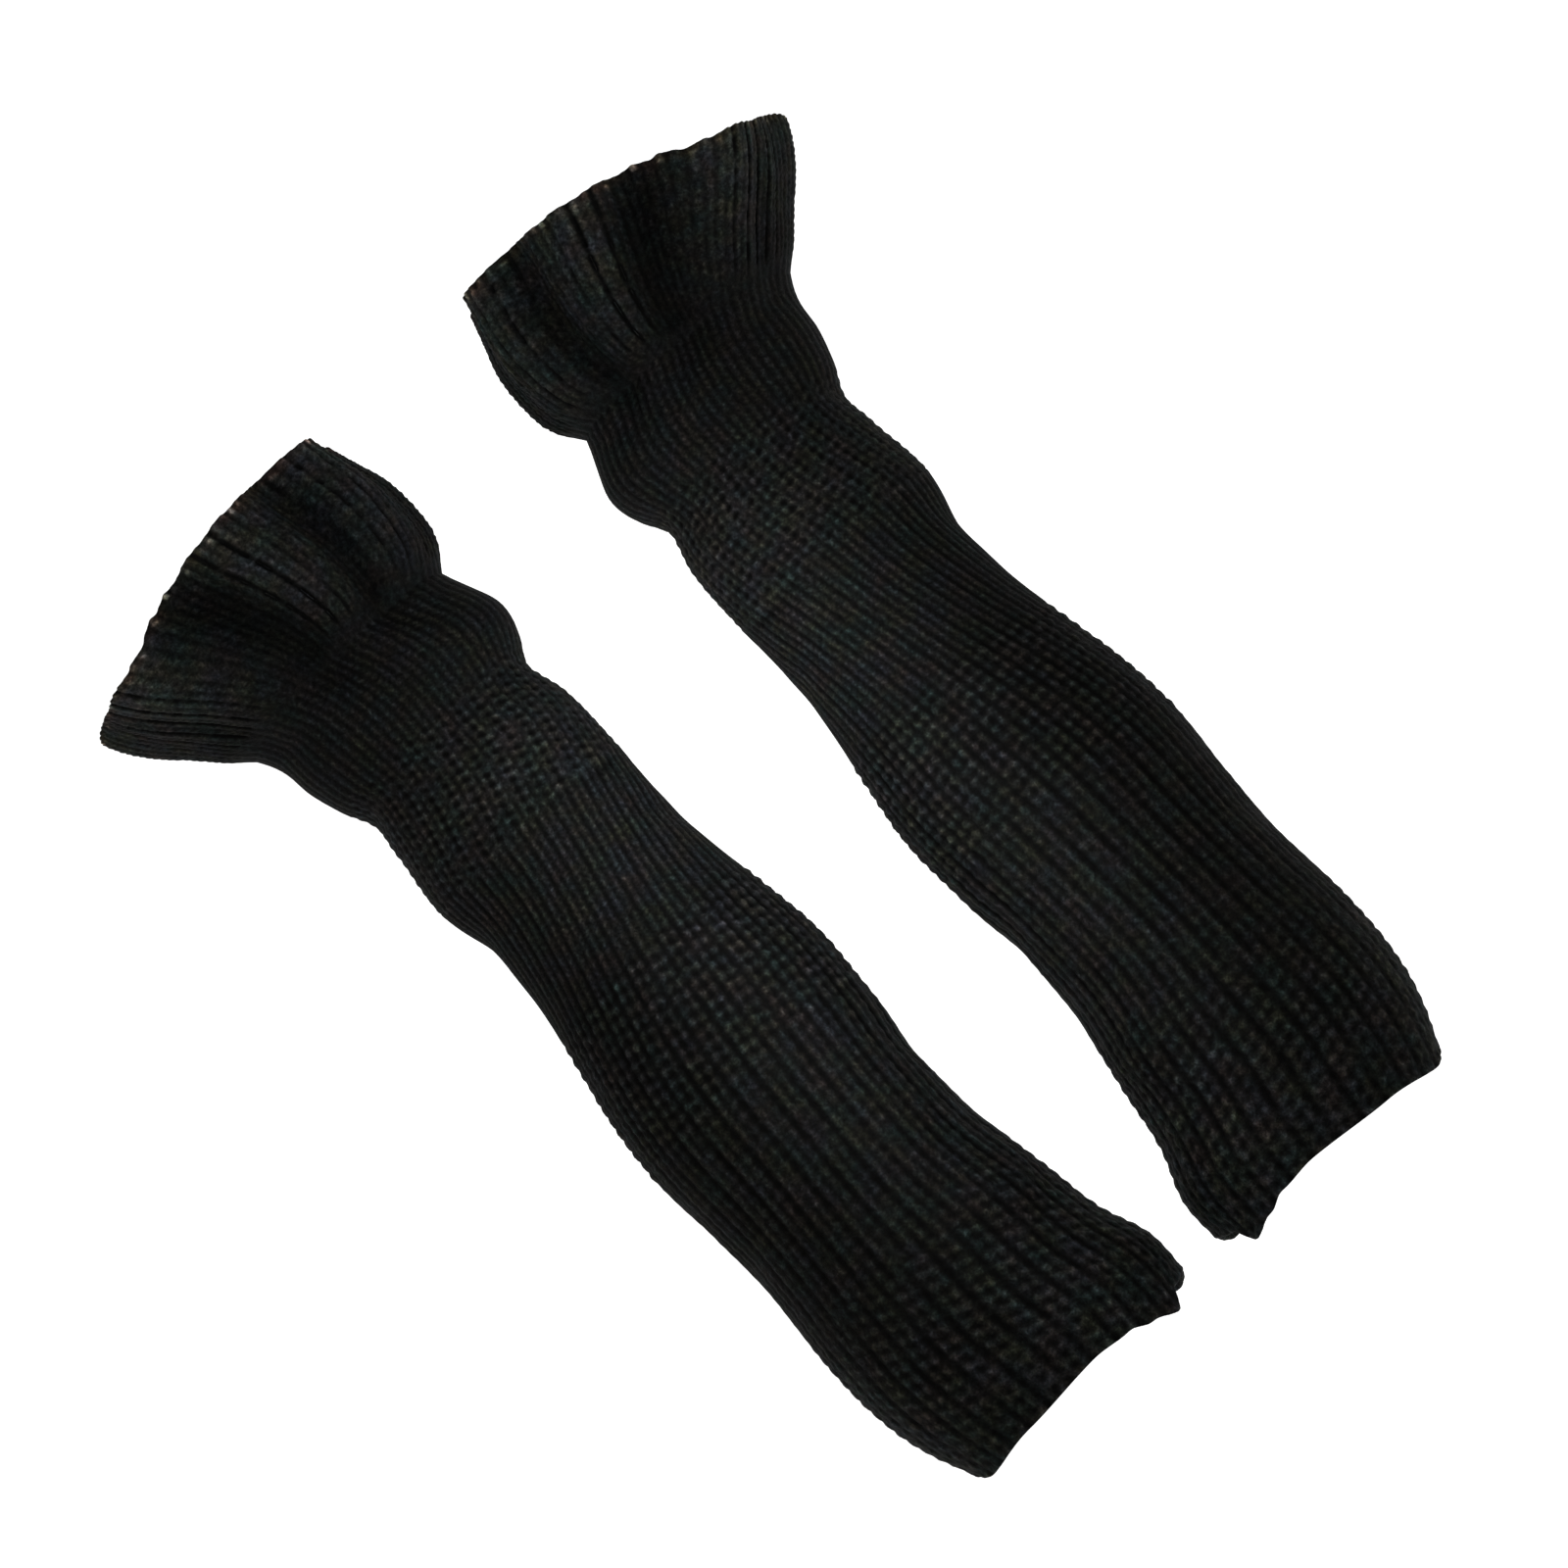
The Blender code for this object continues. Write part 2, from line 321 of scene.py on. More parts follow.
# The shape of a crease: how sharply it ends round the arm, and the lip beside its trough
CREASE_ENDS = 1.4
LIP_HEIGHT = 0.35
LIP_AWAY = 1.7
LIP_NARROW = 0.8

# Slow swells of the surface: height, how many round the arm, and how far each course turns them
Swell = namedtuple("Swell", "height around course_turn")
SWELLS = (
    Swell(0.12, 4, 0.11),
    Swell(0.10, 2, -0.23),
)

# How the rows of stitches sway along the arm
ROW_SWAY = 0.5
SWAY_TURN = 1.1  # where round the arm it begins, in radians
SWAY_MIDDLE = 20  # where along the arm no row sways
SWAY_LENGTH = 160  # from there to the next such place

# Noises of the yarn: how fine, how many layers, and how rough
Noise = namedtuple("Noise", "scale detail roughness")
JITTER = Noise(420.0, 1.0, 0.5)
FIBRES = Noise(2600.0, 3.0, 0.65)
FLUFF = Noise(900.0, 2.0, 0.6)
SPECKLE = Noise(620.0, 2.0, 0.7)
CASTS = (Noise(110.0, 2.0, 0.6), Noise(75.0, 2.0, 0.6))

# The shape of a stitch in the yarn's relief
SLEEVE_STITCH = 0.55
FRILL_STITCH = 0.45
LEG_SLANT = 1.1  # rows to a rib by which the two legs lean
LEG_JITTER = 0.35
LOBE_POWER = 0.7  # below 1, a stitch is blunt along its rib
LEG_POWER = 0.5  # and across it
PLIES = 3.0  # to a stitch
PLY_SLANT = 7.0
PLY_HEIGHT = 0.06
FIBRE_HEIGHT = 0.22
FLUFF_HEIGHT = 0.18
RELIEF_STRENGTH = 0.9
RELIEF_METRES = 0.0006  # what a height of 1 stands for

# Colours of the yarn
BROWN = (0.0120, 0.0098, 0.0062, 1)
BLUE = (0.0056, 0.0098, 0.0124, 1)
VIOLET = (0.0108, 0.0086, 0.0112, 1)
GREEN = (0.0064, 0.0110, 0.0076, 1)
# Painted shade: the colour of the knit where it lies deepest in its grooves
GROOVE_SHADE = (0.0005, 0.0006, 0.0006, 1)
# Painted shade in the gaps between the stitches
GAP_SHADE = (0.0016, 0.0017, 0.0018, 1)
FIBRE = (0.020, 0.020, 0.019, 1)
PLAIN = (1, 1, 1, 1)
# Painted warm highlight on the frill's rim
RIM_HIGHLIGHT_TINT = (1.28, 1.0, 0.86, 1)

# How the colours are mixed
CAST_LOW = 0.36
CAST_GAIN = 3.6
HIDE_POWER = 1.15
GAP_SHADE_SHARE = 0.36  # painted shade, as a share, in the places between the stitches
FIBRE_LOW = 0.56  # above this, the noise of the fibres shows as loose ones
FIBRE_GAIN = 5.0
FIBRE_SHARE = 0.4
SPECKLE_BASE = 2.718  # raised to the speckle's power, so that light spreads evenly
SPECKLE_GAIN = 4.7
SMOOTHEST = 0.55
FLUFF_ROUGHNESS = 0.3
SHEEN = 0.04  # hardly any

# Camera, as the photo was taken: almost straight down on the front, a little from the upper
# ends, and turned so that the warmers lie on the picture's diagonal
LENS = 120.0
SENSOR = 36.0
DISTANCE = 1.763
ELEVATION = 83.7
ROLL = 42.57
TARGET = (0.00385, 0.01022, 0.0)

FLOOR_BELOW = 0.50  # from the middle of the arms down to the floor
FLOOR_HALF = 40.0
FLOOR_COLOUR = (0.90, 0.90, 0.90, 1)
POOL_REACH = (0.72, 1.5)  # from the floor's middle, where its painted pool of glow begins and ends to fade
POOL_LIGHT = (0.80, 0.30)

# Studio lights, in metres from the middle of the pair; the fills stand on both sides
WORLD_COLOUR = (0.97, 0.985, 1.0, 1)
WORLD_LIGHT = 0.34
Lamp = namedtuple("Lamp", "name size power place aim colour")
KEY = Lamp("key", (0.03, 0.22), 0.37, (0.0, 0.0, 0.125), (0.0, 0.0, 0.0), (1, 1, 1))
FILLS = (
    Lamp("side_fill", (0.05, 0.34), 0.21, (0.26, -0.12, 0.16), (0.08, -0.12, 0.0), (1, 0.93, 0.76)),
    Lamp("frill_fill", (0.05, 0.14), 0.24, (0.26, 0.14, 0.16), (0.08, 0.16, 0.0), (1, 0.95, 0.86)),
)


def smooth_rows(rows, key, names):
    """A function that reads a table's columns between its rows on one smooth curve."""
    at = np.array([getattr(row, key) for row in rows], float)
    order = np.argsort(at)
    at = at[order]
    columns = {}
    for name in names:
        value = np.array([getattr(row, name) for row in rows], float)[order]
        slope = np.gradient(value, at)
        columns[name] = (value, slope)

    def read(where):
        where = np.clip(np.asarray(where, float), at[0], at[-1])
        left = np.clip(np.searchsorted(at, where, side="right") - 1, 0, len(at) - 2)
        width = at[left + 1] - at[left]
        t = (where - at[left]) / width
        out = {}
        for name, (value, slope) in columns.items():
            low, high = value[left], value[left + 1]
            bend_low, bend_high = slope[left] * width, slope[left + 1] * width
            out[name] = (
                (2 * t**3 - 3 * t**2 + 1) * low
                + (t**3 - 2 * t**2 + t) * bend_low
                + (3 * t**2 - 2 * t**3) * high
                + (t**3 - t**2) * bend_high
            )
        return out

    return read


def edge_at(rows, angle):
    """How far an edge stands beyond its section at an angle, eased from row to row."""
    angles = np.array([row[0] for row in rows] + [rows[0][0] + 360], float)
    values = np.array([row[1] for row in rows] + [rows[0][1]], float)
    turned = np.asarray(angle, float) % 360
    left = np.clip(np.searchsorted(angles, turned, side="right") - 1, 0, len(rows) - 1)
    part = (turned - angles[left]) / (angles[left + 1] - angles[left])
    eased = part * part * (3 - 2 * part)
    return values[left] + (values[left + 1] - values[left]) * eased


def tone_at(y):
    """How light the knit is at a place along the arm."""
    return np.interp(y, [row.y for row in TONES[::-1]], [row.light for row in TONES[::-1]])


def apart(angle, middle):
    """The signed difference between two angles in degrees."""
    return (angle - middle + 180) % 360 - 180


def fold_depth(angle, share):
    """How deep the flutes push the frill inward."""
    depth = np.zeros(np.broadcast(angle, share).shape)
    eased = np.clip(share / FOLD_EASE, 0, 1)
    eased = eased * eased * (3 - 2 * eased)
    for fold in FOLDS:
        off = apart(angle, fold.angle - fold.lean * (1 - share))
        reach = np.where(off < 0, fold.below, fold.above)
        swell = 0.5 + 0.5 * np.cos(np.pi * np.clip(off / reach, -1, 1))
        along = share**fold.start * (1 - fold.fade * share * share)
        depth = depth + fold.depth * swell * along * eased
    return depth


def pinch_depth(angle, y):
    """How deep the flutes pinch the neck, on the sleeve and on the frill."""
    depth = np.zeros(np.broadcast(angle, y).shape)
    for pinch in PINCHES:
        near = np.exp(-((apart(angle, pinch.angle) / pinch.reach) ** 2))
        depth = depth + pinch.depth * near * np.exp(-(((y - SLEEVE[0].y) / PINCH_LENGTH) ** 2))
    return depth


def boldness(angle):
    """How boldly the pairs of ribs stand out round the frill, from 0 to 1."""
    most = np.zeros(np.shape(angle))
    for bold in BOLD:
        near = np.clip(1 - np.abs(apart(angle, bold.angle)) / bold.reach, 0, 1)
        most = np.maximum(most, bold.share * near * near * (3 - 2 * near))
    return most


def crease_depth(angle, y, creases):
    """How deep the soft creases of a sleeve go."""
    depth = np.zeros(np.broadcast(angle, y).shape)
    for crease in creases:
        off = apart(angle, crease.angle)
        middle = crease.y + crease.slant * off / crease.across
        across = np.exp(-((off / crease.across) ** 2) * CREASE_ENDS)
        along = (y - middle) / crease.along
        lip = LIP_HEIGHT * np.exp(-((along - LIP_AWAY) ** 2) * LIP_NARROW)
        trough = np.exp(-(along**2)) - lip
        depth = depth + crease.depth * across * trough
    return depth


def chance(rib, ribs, row, use):
    """A repeatable number from 0 to 1 for each rib and row, the same where the ribs close."""
    rib_step, row_step, salt_step = SINE_STEPS
    turn = np.mod(rib, ribs) * rib_step + np.round(row) * row_step + SALT[use] * salt_step
    value = np.sin(turn) * SINE_SCALE
    return value - np.floor(value)


def groove(u):
    """Depth from 0 on a rib's crest to 1 in the groove between two ribs."""
    return (0.5 - 0.5 * np.cos(math.tau * u)) ** GROOVE_POWER


def knit_height(u, v, waves):
    """How high the knit stands above its middle, each stitch a little differently."""
    height = np.zeros(np.broadcast(u, v).shape)
    for wave in waves:
        turn = math.tau * (wave.ribs * u + wave.rows * v) + math.radians(wave.shift)
        height = height + wave.height * np.cos(turn)
    # Seed stitches differ one by one, the stitches of a plain rib hardly
    uneven = 1.0 if any(wave.rows for wave in waves) else RIB_UNEVEN
    vary = uneven * (chance(np.round(u), RIBS, v, "stitch") - 0.5)
    gaps = uneven * (chance(np.floor(u), RIBS, v, "gap") - 0.5)
    most = sum(wave.height for wave in waves)
    height = height * (1 + VARY_RELIEF * vary) + VARY_CRESTS * most * vary * (1 - groove(u))
    return height + VARY_GAPS * most * gaps * groove(u)


def oval(read, angle, depth):
    """Across and up of points on a section's oval, moved in along its own normal."""
    middle = (read["inner"] + read["outer"]) / 2
    half = (read["outer"] - read["inner"]) / 2
    height = read["height"]
    c, s = np.cos(np.radians(angle)), np.sin(np.radians(angle))
    slope = np.hypot(c / half, s / height)
    depth = depth - PROUD
    return middle + half * c - depth * c / half / slope, height * s - depth * s / height / slope


def wound(u, ribs, turn, bunch):
    """The angle round the arm of a place counted in ribs."""
    angle = math.tau * u / ribs - np.radians(turn)
    return np.degrees(angle + bunch * np.sin(2 * angle))


def row_places():
    """Rows of the sleeve's outside: y, the course count, and which band each lies in."""
    ys, courses, bands = [], [], []
    course = 0.0
    ends = [band.start for band in BANDS[1:]] + [SLEEVE_END]
    for number, (band, end) in enumerate(zip(BANDS, ends)):
        rounds = max(1, round((band.start - end) / band.pitch))
        steps = rounds * band.rows_each
        for step in range(steps):
            ys.append(band.start + (end - band.start) * step / steps)
            courses.append(course + rounds * step / steps)
            bands.append(number)
        course += rounds
    ys.append(SLEEVE_END)
    courses.append(course)
    bands.append(len(BANDS) - 1)
    return np.array(ys), np.array(courses), np.array(bands)


def banded_height(u, v, ys, bands):
    """The relief of the sleeve's outside, where each band takes over rib by rib."""
    ragged = chance(np.round(u), RIBS, 0.0, "onset") - EARLIEST
    height = knit_height(u, v, BANDS[0].knit)
    for number, band in enumerate(BANDS[1:], 1):
        rows = bands >= number
        into = (band.start - ys[rows, None]) / band.onset - ragged
        grown = np.clip(into, 0, 1)
        height[rows] = height[rows] * (1 - grown) + knit_height(u, v[rows], band.knit) * grown
    return height


def columns_at(read_at, places):
    """A table read at some places, each of its values as one column."""
    return {name: values[:, None] for name, values in read_at(places).items()}


def below_neck(y):
    """From 0 at the neck to 1 where creases and swells have set in."""
    return np.clip((SLEEVE[0].y - y) / NECK_CALM, 0, 1)


def upper_edge(angle, y):
    """Rows of the sleeve, drawn toward the uneven edge of its upper end."""
    share = np.clip((EDGE_FROM - y) / (EDGE_FROM - SLEEVE_END), 0, 1) ** EDGE_EASE
    return y - share * edge_at(UPPER_EDGE, angle)


def inner_relief(u):
    """How deep the inside of the cloth lies, with its plain ribs."""
    return THICKNESS + INNER_RELIEF * np.cos(math.tau * u)


def inner_look(u, v):
    """Counts, depth and lightness of the inside of the cloth."""
    return np.stack(np.broadcast_arrays(u, v, INNER_DEEP * groove(u), INNER_LIGHT), -1)


def sleeve_outside(read_at, ys, courses, bands):
    """Points of the sleeve's outside, and their counts, depth and lightness."""
    u = np.arange(RIBS * COLUMNS)[None, :] / COLUMNS
    v = courses[:, None]
    y = ys[:, None]
    read = columns_at(read_at, ys)
    angle = wound(u, RIBS, read["turn"], read["bunch"])
    around = np.radians(angle)
    height = banded_height(u, v, ys, bands) - crease_depth(angle, y, COURSES)
    swells = sum(s.height * np.sin(s.around * around + s.course_turn * v) for s in SWELLS)
    depth = MIDDLE - RAISED * height + pinch_depth(angle, y)
    depth = depth + below_neck(y) * (swells + crease_depth(angle, y, CREASES))
    across, up = oval(read, angle, depth)
    sway = ROW_SWAY * np.sin(2 * around + SWAY_TURN)
    along = upper_edge(angle, y) + sway * np.sin(np.pi * (y - SWAY_MIDDLE) / SWAY_LENGTH)
    along[0] = SLEEVE[0].y
    # Painted shade in the pinches at the neck
    pinch_shade = np.clip(1 - PINCH_SHADE * pinch_depth(angle, y), PINCH_DARKEST, 1)
    # Painted highlight and shade: lighter where the knit stands up, darker where it lies low
    tone = pinch_shade * tone_at(ys)[:, None] * np.exp(RELIEF_HIGHLIGHT * height)
    look = np.broadcast_arrays(u, v, (MIDDLE - height) / DEEPEST, tone)
    return np.stack(np.broadcast_arrays(across, along, up), -1), np.stack(look, -1)


def sleeve_inside(read_at, ys, courses):
    """Points of the sleeve's inside, and their counts, depth and lightness."""
    u = np.arange(RIBS * INNER_PER_RIB)[None, :] / INNER_PER_RIB
    y = ys[:, None]
    read = columns_at(read_at, ys)
    angle = wound(u, RIBS, read["turn"], read["bunch"])
    depth = inner_relief(u) + pinch_depth(angle, y)
    depth = depth + below_neck(y) * crease_depth(angle, y, CREASES)
    across, up = oval(read, angle, depth)
    along = upper_edge(angle, y)
    along[0] = SLEEVE[0].y
    return np.stack(np.broadcast_arrays(across, along, up), -1), inner_look(u, courses[:, None])


def sleeve_cloth():
    """Both faces of the sleeve's cloth."""
    read_at = smooth_rows(SLEEVE, "y", ("inner", "outer", "height", "turn", "bunch"))
    ys, courses, bands = row_places()
    inner_rows = np.unique(np.append(np.arange(0, len(ys), INNER_ROW_STEP), len(ys) - 1))
    outside = sleeve_outside(read_at, ys, courses, bands)
    return outside, sleeve_inside(read_at, ys[inner_rows], courses[inner_rows])


def frill_angle(u, share):
    """The angle of a rib at a share of the frill's length."""
    return wound(u, FRILL_RIBS, 0.0, SLEEVE[0].bunch * (1 - share))


def frill_points(read_at, u, share, relief):
    """Points of the frill where its knit lies at a depth."""
    read = columns_at(read_at, share[:, 0])
    angle = frill_angle(u, share)
    along = SLEEVE[0].y + share * (FRILL_LENGTH + edge_at(RIM_EDGE, angle))
    depth = relief + fold_depth(angle, share) + pinch_depth(angle, along)
    across, up = oval(read, angle, depth)
    return np.stack(np.broadcast_arrays(across, along, up), -1)


def frill_relief(u, v, share):
    """How deep the frill's knit lies under the crests, and the painted highlight and shade its
    height gives it.
    """
    bold = boldness(frill_angle(u, share)) * np.clip((share - OWN_FROM) / BOLD_OVER, 0, 1)
    paired = np.mod(np.floor(u), 2) > 0.5
    size = np.where(paired, GROOVE_DEPTH + BOLD_MORE * bold, GROOVE_DEPTH - BOLD_LESS * bold)
    lean = (u + 0.5) % 1 - 0.5
    uneven = chance(np.round(u), FRILL_RIBS, v, "bead") - 0.5
    lobe = np.cos(math.tau * (v + BEAD_SLANT * np.abs(lean))) * (BEAD_HEIGHT + BEAD_VARY * uneven)
    beads = (lobe - BEAD_SUNK * uneven) * (1 - groove(u))
    gaps = 1 + GROOVE_VARY * (chance(np.floor(u), FRILL_RIBS, v, "frill gap") - 0.5)
    ribs = size * gaps * groove(u) + CREST_DEPTH - beads
    # The sleeve's ribs run on into the frill before its own take over
    from_sleeve = MIDDLE - RAISED * knit_height(u * RIBS / FRILL_RIBS, 0.0 * v, WRIST_RIB)
    own = np.clip((share - OWN_FROM) / OWN_OVER, 0, 1)
    ribs = from_sleeve * (1 - own) + ribs * own
    # Painted highlight and shade by the knit's height
    return ribs, np.exp(FRILL_RELIEF_HIGHLIGHT * (MIDDLE - ribs) + BEAD_HIGHLIGHT * own * beads)


def flute_shade_and_highlight(u, share, y):
    """Painted shade in the flutes and painted highlight on their crests, by how deep they go."""
    angle = frill_angle(u, share)
    flute = fold_depth(angle, share) + pinch_depth(angle, y)
    open_rim = 1 - RIM_OPEN * share**4
    painted = 1 - np.where(flute > 0, FLUTE_SHADE * open_rim, FOLD_CREST_HIGHLIGHT) * flute
    return np.clip(painted, *PAINTED_LIGHT_RANGE)


def rim_loops(u, v, share):
    """How much lighter than the rest the rim's loops are, each by its own chance."""
    loops = chance(np.round(u), FRILL_RIBS, v, "loop") ** LOOP_RARE * (1 - groove(u)) ** LOOP_NARROW
    return 1 + LOOP_LIGHT * loops * np.clip((share - LOOP_FROM) / LOOP_OVER, 0, 1)


def frill_cloth():
    """Both faces of the frill's cloth, each with its counts, depth and lightness."""
    read_at = smooth_rows(FRILL, "share", ("inner", "outer", "height"))
    courses = round(FRILL_LENGTH / FRILL_PITCH)
    steps = courses * FRILL_ROWS_EACH

    u = np.arange(FRILL_RIBS * FRILL_COLUMNS)[None, :] / FRILL_COLUMNS
    share = (np.arange(steps + 1) / steps)[:, None]
    v = share * courses
    ribs, light = frill_relief(u, v, share)
    outside = frill_points(read_at, u, share, ribs)
    scallops = np.array(RIM_SCALLOPS)[:, None] * (1 - groove(u)) ** 2
    outside[-len(scallops):, :, 1] += scallops
    y = outside[..., 1]
    # Painted shade in the flutes and painted highlights on the crests and raised knit
    tone = flute_shade_and_highlight(u, share, y) * tone_at(y) * light * rim_loops(u, v, share)
    outer_look = np.stack(np.broadcast_arrays(u, v, ribs / DEEPEST, tone), -1)

    u = np.arange(FRILL_RIBS * INNER_PER_RIB)[None, :] / INNER_PER_RIB
    share = (np.arange(0, steps + 1, FRILL_ROWS_EACH) / steps)[:, None]
    inside = frill_points(read_at, u, share, inner_relief(u))
    return (outside, outer_look), (inside, inner_look(u, share * courses))


def rolled_edge(outer_row, inner_row, beyond):
    """Rows that roll the cloth's edge from its outside to its inside."""
    per = len(outer_row) // len(inner_row)
    fine = np.empty_like(outer_row)
    for k in range(per):
        part = k / per
        fine[k::per] = inner_row * (1 - part) + np.roll(inner_row, -1, 0) * part
    rows = []
    for step in range(1, EDGE_STEPS + 1):
        turn = math.pi * step / (EDGE_STEPS + 1)
        blend = 0.5 - 0.5 * math.cos(turn)
        row = outer_row * (1 - blend) + fine * blend
        row = row + np.array((0.0, beyond * math.sin(turn), 0.0))
        rows.append(row)
    return np.array(rows)


def grid_faces(first, rows, columns, flip):
    """Four-cornered faces of a grid of points that closes round the arm."""
    r, c = np.meshgrid(np.arange(rows - 1), np.arange(columns), indexing="ij")
    after = (c + 1) % columns
    near_corners = [r * columns + c, r * columns + after]
    far_corners = [(r + 1) * columns + after, (r + 1) * columns + c]
    faces = np.stack(near_corners + far_corners, -1).reshape(-1, 4) + first
    return faces[:, ::-1].tolist() if flip else faces.tolist()


def bridge_faces(outer_first, inner_first, columns, columns_in, flip):
    """Three-cornered faces between a fine ring of points and a coarse one."""
    per = columns // columns_in
    faces = []
    for c in range(columns):
        a = outer_first + c
        b = outer_first + (c + 1) % columns
        near = inner_first + c // per
        faces.append((b, a, near))
        if (c + 1) % per == 0:
            after = inner_first + ((c + 1) // per) % columns_in
            faces.append((b, near, after))
    return [face[::-1] for face in faces] if flip else faces


def cloth_mesh(name, cloth, side, out_at_end):
    """One closed shell from the two faces of the cloth and its two rolled edges."""
    (outside, outer_look), (inside, look_in) = cloth
    first_edge = rolled_edge(outside[0], inside[0], 0.0)
    last_edge = rolled_edge(outside[-1], inside[-1], out_at_end)
    skin = np.concatenate([first_edge[::-1], outside, last_edge])
    first_look = np.repeat(outer_look[:1], EDGE_STEPS, 0)
    last_look = np.repeat(outer_look[-1:], EDGE_STEPS, 0)
    skin_look = np.concatenate([first_look, outer_look, last_look])
    rows, columns = skin.shape[:2]
    rows_in, columns_in = inside.shape[:2]
    points = np.concatenate([skin.reshape(-1, 3), inside.reshape(-1, 3)]) * MM
    points[:, 0] *= side
    look = np.concatenate([skin_look.reshape(-1, 4), look_in.reshape(-1, 4)])

    # Along the grid's rows the sleeve runs down and the frill up, so their faces turn opposite
    flip = (side < 0) != (out_at_end < 0)
    inner_first = rows * columns
    last_outer = (rows - 1) * columns
    last_inner = inner_first + (rows_in - 1) * columns_in
    faces = grid_faces(0, rows, columns, flip)
    faces += grid_faces(inner_first, rows_in, columns_in, not flip)
    faces += bridge_faces(0, inner_first, columns, columns_in, flip)
    faces += bridge_faces(last_outer, last_inner, columns, columns_in, not flip)
    mesh = bpy.data.meshes.new(name)
    mesh.from_pydata(points.tolist(), [], faces)
    mesh.validate()
    add_look(mesh, look)
    mesh.shade_smooth()
    keep_sharp(mesh, EDGE_STEPS * columns, columns)
    return mesh


def keep_sharp(mesh, first, count):
    """Keeps one ring of edges sharp, from its first point on."""
    ends = np.empty(len(mesh.edges) * 2, np.int32)
    mesh.edges.foreach_get("vertices", ends)
    on_ring = (ends >= first) & (ends < first + count)
    sharp = mesh.attributes.new("sharp_edge", "BOOLEAN", "EDGE")
    sharp.data.foreach_set("value", on_ring.reshape(-1, 2).all(1))


def add_look(mesh, look):
    """What the materials read: counts in ribs and courses as a UV map, depth and lightness."""
    layer = mesh.uv_layers.new(name="knit")
    loops = np.empty(len(mesh.loops), np.int32)
    mesh.loops.foreach_get("vertex_index", loops)
    sizes = np.empty(len(mesh.polygons), np.int32)
    mesh.polygons.foreach_get("loop_total", sizes)
    face_of = np.repeat(np.arange(len(sizes)), sizes)
    for name, column in (("deep", 2), ("tone", 3)):
        values = mesh.attributes.new(name, "FLOAT", "POINT")
        values.data.foreach_set("value", np.clip(look[:, column], 0, MOST_LIGHT).astype(np.float32))
    # Where the ribs close, a face's low counts go on from the high ones
    at = look[loops][:, :2].copy()
    most = look[:, 0].max()
    low = np.full(len(sizes), np.inf)
    np.minimum.at(low, face_of, at[:, 0])
    high = np.full(len(sizes), -np.inf)
    np.maximum.at(high, face_of, at[:, 0])
    wraps = (high - low) > most / 2
    at[:, 0] += np.where(wraps[face_of] & (at[:, 0] < most / 2), np.ceil(most), 0)
    layer.uv.foreach_set("vector", at.astype(np.float32).ravel())


def link(mesh, parent):
    """A mesh as an object of its own name, placed by its parent."""
    piece = bpy.data.objects.new(mesh.name, mesh)
    bpy.context.scene.collection.objects.link(piece)
    piece.parent = parent
    return piece


class Wires:
    """Small helper that adds shader nodes and joins them."""

    def __init__(self, tree):
        self.tree = tree

    def node(self, kind, **settings):
        """A new node with its settings."""
        made = self.tree.nodes.new(kind)
        for key, value in settings.items():
            setattr(made, key, value)
        return made

    def put(self, socket, value):
        """A value or another node's output into a socket."""
        if isinstance(value, bpy.types.NodeSocket):
            self.tree.links.new(value, socket)
        else:
            socket.default_value = value

    def math(self, operation, *values, clamp=False):
        """One step of arithmetic."""
        made = self.node("ShaderNodeMath", operation=operation, use_clamp=clamp)
        for socket, value in zip(made.inputs, values):
            self.put(socket, value)
        return made.outputs[0]

    def beyond(self, value, low, gain, clamp=False):
        """How far a value is beyond another, times a gain."""
        return self.math("MULTIPLY", self.math("SUBTRACT", value, low), gain, clamp=clamp)

    def add_share(self, total, value, share):
        """A total with a share of a value added to it."""
        return self.math("ADD", total, self.math("MULTIPLY", value, share))

    def mix(self, factor, a, b):
        """A colour between two others."""
        made = self.node("ShaderNodeMix", data_type="RGBA")
        self.put(made.inputs["Factor"], factor)
        self.put(made.inputs["A"], a)
        self.put(made.inputs["B"], b)
        return made.outputs["Result"]

    def noise(self, vector, kind):
        """One of the yarn's noises."""
        made = self.node("ShaderNodeTexNoise")
        self.put(made.inputs["Vector"], vector)
        made.inputs["Scale"].default_value = kind.scale
        made.inputs["Detail"].default_value = kind.detail
        made.inputs["Roughness"].default_value = kind.roughness
        return made.outputs["Fac"]

    def attribute(self, name):
        """A value that the mesh holds for each of its points."""
        return self.node("ShaderNodeAttribute", attribute_name=name).outputs["Fac"]


def stitch_and_plies(w, u, v, place):
    """How high each stitch stands, from 0 to 1, and the twist of its yarn, from -1 to 1."""
    # Distance from the rib's crest, from 0 to 0.5, and the two legs of the stitch on it
    across = w.math("FRACT", w.math("ADD", u, 0.5))
    from_crest = w.math("ABSOLUTE", w.math("SUBTRACT", across, 0.5))
    jitter = w.beyond(w.noise(place, JITTER), 0.5, LEG_JITTER)
    slanted = w.math("ADD", w.add_share(v, from_crest, LEG_SLANT), jitter)
    lobe = w.math("ABSOLUTE", w.math("SINE", w.math("MULTIPLY", slanted, math.pi)))
    lobe = w.math("POWER", lobe, LOBE_POWER)
    on_leg = w.math("SUBTRACT", 1.0, w.math("MULTIPLY", from_crest, 2.0), clamp=True)
    stitch = w.math("MULTIPLY", lobe, w.math("POWER", on_leg, LEG_POWER))
    # Plies of the yarn run along each leg
    phase = w.add_share(w.math("MULTIPLY", slanted, PLIES), from_crest, PLY_SLANT)
    return stitch, w.math("SINE", w.math("MULTIPLY", phase, math.tau))


